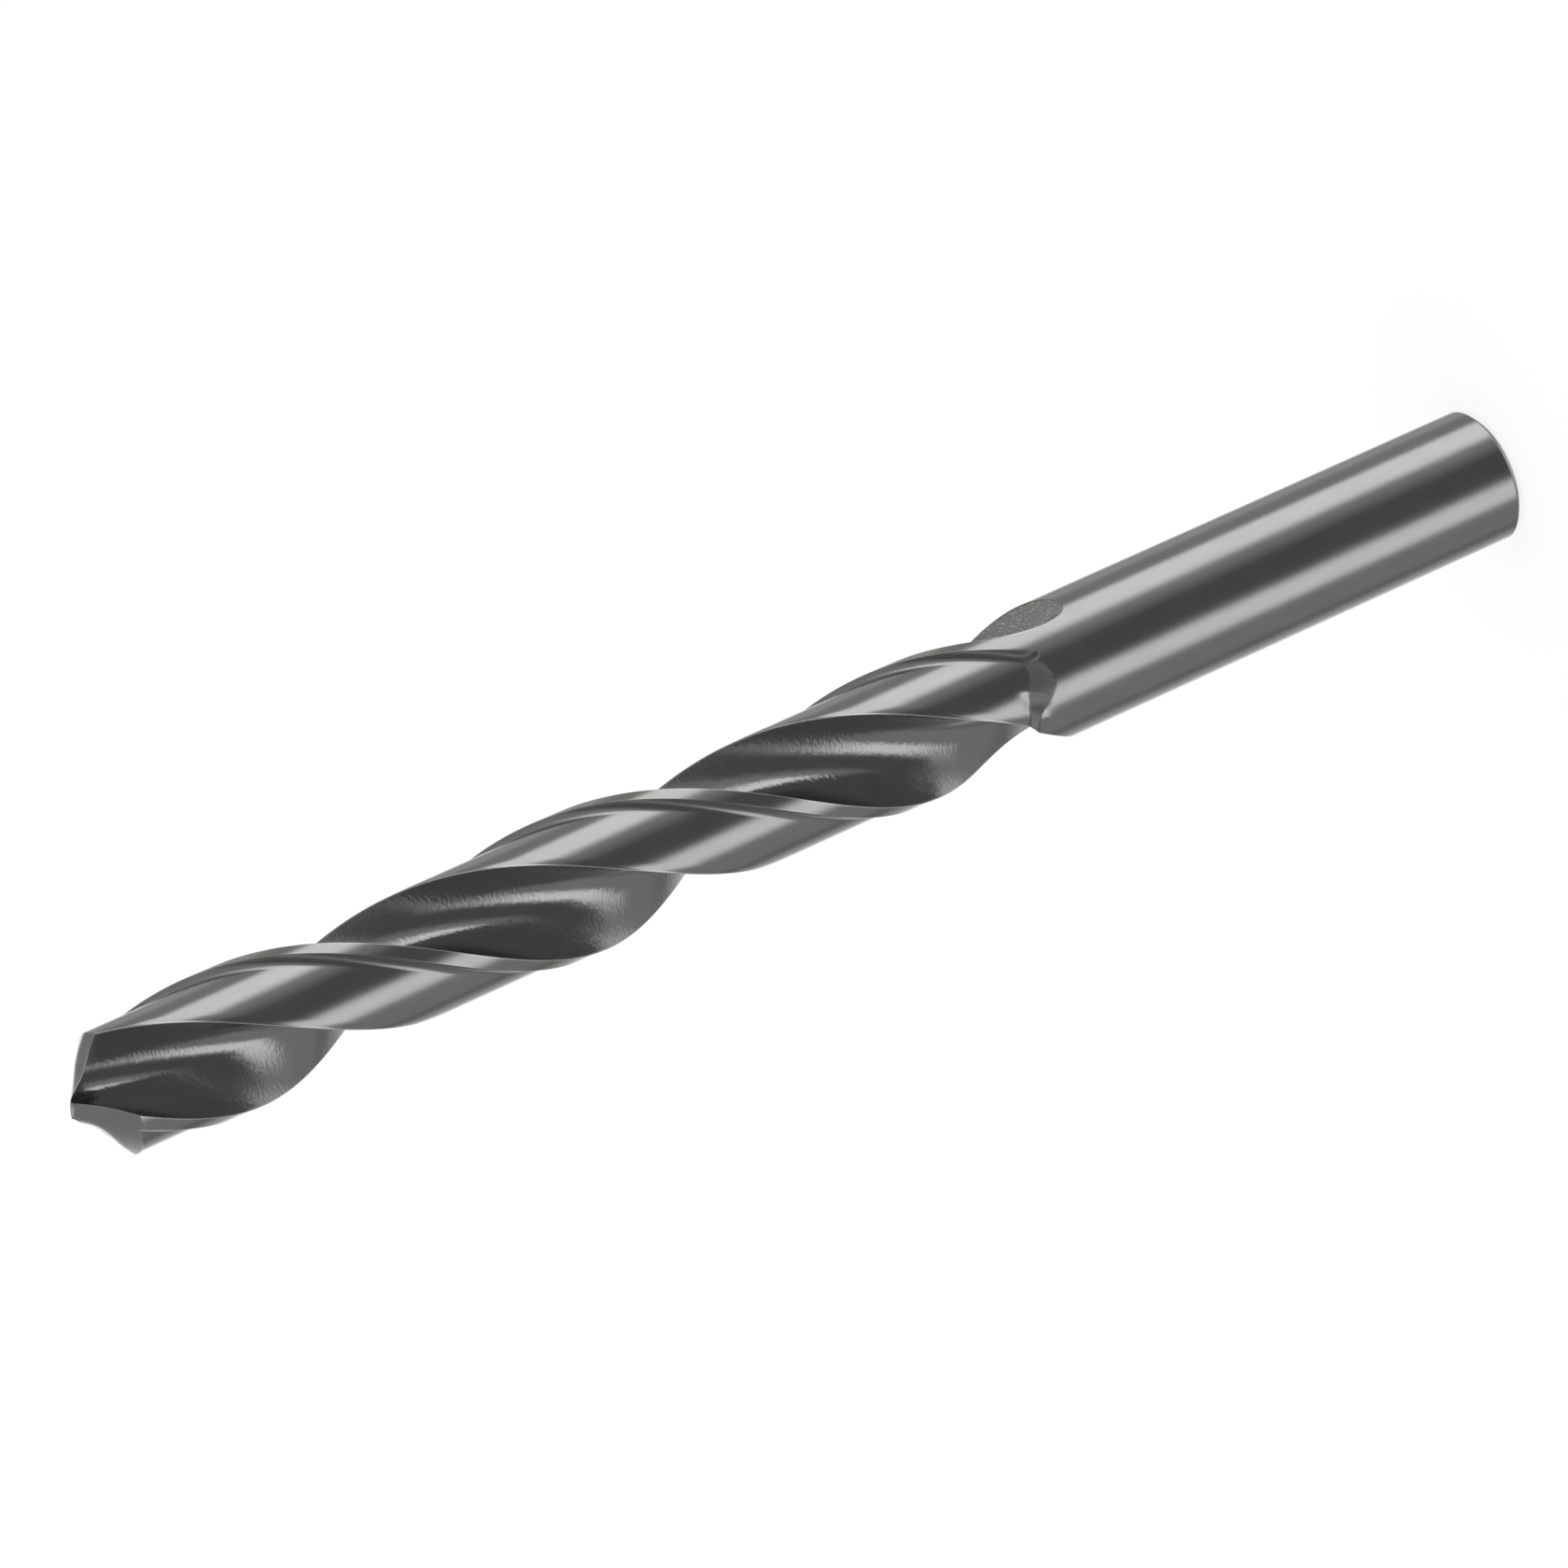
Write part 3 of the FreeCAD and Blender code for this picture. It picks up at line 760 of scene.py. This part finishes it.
# Patches and shape of the edges' lighter colour, which is partly wear and partly a painted
# highlight.
LEAST_WORN, MOST_WORN = 0.7, 1.3
WEAR_POWER, WEAR_GAIN, WEAR_SOFTNESS = 2.0, 1.1, 0.1
SMOOTHEST, ROUGHEST = 0.16, 0.21
GRIND_GRAIN, RIPPLE_GRAIN, FLECK_GRAIN = (0.6, 0.14, 2.0), (0.6, 0.26, 3.0), (0.26, 0.2, 3.0)
CLOUD_GRAIN, WEAR_GRAIN = (1.6, 5.0, 4.0), (0.5, 0.5, 2.0)
FLUTE_ROUGH, COARSE_ROUGH, WORN_ROUGH = 0.15, 0.33, 0.28
oxide = bpy.data.materials.new("black_oxide")
oxide.use_nodes = True
tree = oxide.node_tree
shader = tree.nodes["Principled BSDF"]
shader.inputs["Metallic"].default_value = METAL_SHARE
in_flutes = noted(tree, "flute")
coarse = noted(tree, "coarse")
ground = math_node(tree, "MULTIPLY", grain(tree, *GRIND_GRAIN), GRIND_DEPTH)
ripple_depth = mixed(tree, coarse, RIPPLE_DEPTH, COARSE_DEPTH)
rippled = math_node(tree, "MULTIPLY", grain(tree, *RIPPLE_GRAIN), ripple_depth)
bump = tree.nodes.new("ShaderNodeBump")
bump.inputs["Distance"].default_value = BUMP_DISTANCE * MM
tree.links.new(mixed(tree, in_flutes, ground, rippled), bump.inputs["Height"])
tree.links.new(bump.outputs["Normal"], shader.inputs["Normal"])
cloud = grain(tree, *CLOUD_GRAIN)
tone = mixed(tree, cloud, LEAST_OXIDE, MOST_OXIDE)
# The edges' lighter colour from the note on the points: partly wear, partly a painted highlight.
patches = mixed(tree, grain(tree, *WEAR_GRAIN), LEAST_WORN, MOST_WORN)
wear_and_highlight_share = math_node(tree, "MULTIPLY", noted(tree, "wear_and_highlight"), patches)
wear_and_highlight_share = math_node(tree, "POWER", wear_and_highlight_share, WEAR_POWER)
wear_and_highlight_share = math_node(tree, "MULTIPLY", wear_and_highlight_share, WEAR_GAIN)
wear_and_highlight_share = math_node(tree, "SMOOTH_MIN", wear_and_highlight_share, 1.0, WEAR_SOFTNESS)
flecks = math_node(tree, "SUBTRACT", grain(tree, *FLECK_GRAIN), FLECK_LEVEL)
flecks = math_node(tree, "MULTIPLY", flecks, FLECK_EDGE)
flecks = math_node(tree, "MAXIMUM", flecks, 0.0)
flecks = math_node(tree, "MULTIPLY", flecks, in_flutes)
flecks = math_node(tree, "MINIMUM", flecks, 1.0)
tone = mixed(tree, coarse, tone, mixed(tree, flecks, COARSE_TONE, FLECK_TONE))
# The edges are painted lighter here: worn oxide and a painted highlight.
tone = mixed(tree, wear_and_highlight_share, tone, BARE_AND_HIGHLIGHT_TONE)
colour = tree.nodes.new("ShaderNodeCombineColor")
for channel, share in zip(("Red", "Green", "Blue"), WARMTH):
    tree.links.new(math_node(tree, "MULTIPLY", tone, share), colour.inputs[channel])
tree.links.new(colour.outputs["Color"], shader.inputs["Base Color"])
roughness = mixed(tree, in_flutes, mixed(tree, cloud, SMOOTHEST, ROUGHEST), FLUTE_ROUGH)
roughness = mixed(tree, coarse, roughness, COARSE_ROUGH)
tree.links.new(mixed(tree, wear_and_highlight_share, roughness, WORN_ROUGH), shader.inputs["Roughness"])
print(f"finish: oxide tone {LEAST_OXIDE:.3f} to {MOST_OXIDE:.3f}, bare steel {BARE_AND_HIGHLIGHT_TONE}")
drill_mesh.materials.append(oxide)

# %% [markdown]
# The camera. The bit stands upright here and lies in the picture, so the camera is rolled until
# the point is at the lower left. It stands well back with a long lens, as for a catalogue.

# %% Camera
VIEW_TURN = math.radians(32.7)
CAMERA_PLACE = Vector((688.15, 0.46, 355.2)) * MM
CAMERA_RIGHT = Vector((0.34122, -0.41106, -0.84535))
CAMERA_DOWN = Vector((-0.15386, -0.91161, 0.38118))
CAMERA_LENS, SENSOR_WIDTH = 188.8, 36.0
NEAREST_SEEN = 0.01
turn = Matrix.Rotation(VIEW_TURN, 3, "Z")
right = (turn @ CAMERA_RIGHT).normalized()
up = (turn @ -CAMERA_DOWN).normalized()
back = right.cross(up)
camera_data = bpy.data.cameras.new("camera")
camera_data.lens = CAMERA_LENS
camera_data.sensor_width = SENSOR_WIDTH
camera_data.clip_start = NEAREST_SEEN
camera = bpy.data.objects.new("camera", camera_data)
facing = Matrix((right, up, back)).transposed().to_4x4()
camera.matrix_world = Matrix.Translation(turn @ CAMERA_PLACE) @ facing
bpy.context.scene.collection.objects.link(camera)
bpy.context.scene.camera = camera
print(f"camera {CAMERA_PLACE.length:.3f} m away, lens {CAMERA_LENS} mm")

# %% [markdown]
# Stage and light. The metal is dark and shiny, so its shading is the studio mirrored in it. The
# studio is a ring of soft-edged strips around the bit: a black flag behind the camera, a soft
# box on each side, grey walls, and the white backdrop behind the bit. Each strip is written as
# its azimuth from the camera, half its width and the width of its soft edge, then its lowest
# and highest elevation and the width of that edge, all in degrees, and its strength. Only
# mirrored rays see the strips, and a ray that was mirrored twice, deep in a flute, sees an even
# grey: its depth when it reaches the studio is 3, against 2 for a ray that was mirrored once.
# Matt things get plain white light from all around, and the camera sees a white room.

# %% Studio
WALL = 0.52
TWICE_MIRRORED = 0.6
MIRRORED_ONCE_LIMIT = 2.5
STRIPS = [
    ("flag", 5, 26, 22, -62, 36, 24, 0.18),
    ("left_box", -43, 16, 16, -44, 1, 34, 1.95),
    ("left_top", -85, 45, 30, 2, 42, 18, 0.22),
    ("right_box", 75, 21, 16, -60, -4, 27, 2.25),
    ("right_gap", 108, 13, 10, -65, 15, 40, 0.52),
    ("right_wall", 133, 9, 12, -65, 15, 40, 0.72),
    ("left_gap", -115, 7, 12, -65, 15, 40, 0.33),
    ("left_wall", -142, 12, 12, -65, 15, 40, 0.76),
    ("backdrop", 178, 16, 16, -60, 60, 58, 1.15),
    ("bright_side", -168, 16, 24, -60, 12, 50, 1.75),
    ("pool", 0, 200, 10, -95, -72, 12, 1.15),
]


def fade(tree, value, near, far):
    """A smooth fall from 1 at the near value to 0 at the far value."""
    node = tree.nodes.new("ShaderNodeMapRange")
    node.interpolation_type = "SMOOTHSTEP"
    node.inputs["From Min"].default_value = near
    node.inputs["From Max"].default_value = far
    node.inputs["To Min"].default_value = 1.0
    node.inputs["To Max"].default_value = 0.0
    tree.links.new(value, node.inputs["Value"])
    return node.outputs["Result"]


def soft_step(tree, value, place, width):
    """A smooth rise from 0 to 1 across a place, over a width in degrees.

    A width below zero makes it a fall from 1 to 0.
    """
    return fade(tree, value, math.radians(place + width / 2), math.radians(place - width / 2))


def studio_radiance(tree):
    """Radiance of the studio for each direction: the walls, changed by one strip after another."""
    way = tree.nodes.new("ShaderNodeTexCoord").outputs["Generated"]
    split = tree.nodes.new("ShaderNodeSeparateXYZ")
    tree.links.new(way, split.inputs[0])
    azimuth = math_node(tree, "ARCTAN2", split.outputs["Y"], split.outputs["X"])
    elevation = math_node(tree, "ARCSINE", split.outputs["Z"])
    radiance = WALL
    for _, centre, half, edge, lowest, highest, rim, strength in STRIPS:
        around = math_node(tree, "SUBTRACT", azimuth, VIEW_TURN + math.radians(centre))
        around = math_node(tree, "WRAP", around, math.pi, -math.pi)
        around = math_node(tree, "ABSOLUTE", around)
        across = soft_step(tree, around, half, -edge)
        over = soft_step(tree, elevation, lowest, rim)
        under = soft_step(tree, elevation, highest, -rim)
        upright = math_node(tree, "MULTIPLY", over, under)
        part = math_node(tree, "MULTIPLY", across, upright)
        change = math_node(tree, "SUBTRACT", strength, radiance)
        change = math_node(tree, "MULTIPLY", change, part)
        radiance = math_node(tree, "ADD", radiance, change)
    return radiance


world = bpy.data.worlds.new("studio")
bpy.context.scene.world = world
world.use_nodes = True
tree = world.node_tree
background = tree.nodes["Background"]
background.inputs["Color"].default_value = (1, 1, 1, 1)
rays = tree.nodes.new("ShaderNodeLightPath")
mirrored_once = math_node(tree, "LESS_THAN", rays.outputs["Ray Depth"], MIRRORED_ONCE_LIMIT)
mirrored = math_node(tree, "SUBTRACT", studio_radiance(tree), TWICE_MIRRORED)
mirrored = math_node(tree, "MULTIPLY", mirrored, mirrored_once)
mirrored = math_node(tree, "ADD", mirrored, TWICE_MIRRORED - 1.0)
mirrored = math_node(tree, "MULTIPLY", mirrored, rays.outputs["Is Glossy Ray"])
tree.links.new(math_node(tree, "ADD", mirrored, 1.0), background.inputs["Strength"])
print("studio:", [strip[0] for strip in STRIPS])

# %% [markdown]
# The floor is white paper under the shank's end. To the camera it glows as white as the room,
# so the picture's ground is even, and only the bit's soft shadow is left on it. Mirrored rays
# pass through it to the studio.

# %% Floor
FLOOR_REACH = 4.0
GLOW_SHARE, GLOW_STRENGTH = 0.8, 1.04
PAPER_COLOUR = (0.9, 0.9, 0.9, 1.0)
floor_mesh = bpy.data.meshes.new("floor")
corners = [(-1, -1), (1, -1), (1, 1), (-1, 1)]
corners = [(x * FLOOR_REACH, y * FLOOR_REACH, 0) for x, y in corners]
floor_mesh.from_pydata(corners, [], [(0, 1, 2, 3)])
floor = bpy.data.objects.new("floor", floor_mesh)
bpy.context.scene.collection.objects.link(floor)
paper = bpy.data.materials.new("white_paper")
paper.use_nodes = True
tree = paper.node_tree
shader = tree.nodes["Principled BSDF"]
shader.inputs["Base Color"].default_value = PAPER_COLOUR
shader.inputs["Roughness"].default_value = 1.0
shader.inputs["Specular IOR Level"].default_value = 0.0
glow = tree.nodes.new("ShaderNodeEmission")
glow.inputs["Color"].default_value = (1, 1, 1, 1)
glow.inputs["Strength"].default_value = GLOW_STRENGTH
clear = tree.nodes.new("ShaderNodeBsdfTransparent")
rays = tree.nodes.new("ShaderNodeLightPath")
seen = tree.nodes.new("ShaderNodeMixShader")
share = math_node(tree, "MULTIPLY", rays.outputs["Is Camera Ray"], GLOW_SHARE)
tree.links.new(share, seen.inputs[0])
tree.links.new(shader.outputs[0], seen.inputs[1])
tree.links.new(glow.outputs[0], seen.inputs[2])
mix = tree.nodes.new("ShaderNodeMixShader")
tree.links.new(rays.outputs["Is Glossy Ray"], mix.inputs[0])
tree.links.new(seen.outputs[0], mix.inputs[1])
tree.links.new(clear.outputs[0], mix.inputs[2])
tree.links.new(mix.outputs[0], tree.nodes["Material Output"].inputs["Surface"])
floor_mesh.materials.append(paper)
bpy.context.scene.view_settings.view_transform = "Standard"
print(f"floor: a square of {2 * FLOOR_REACH:.0f} m")
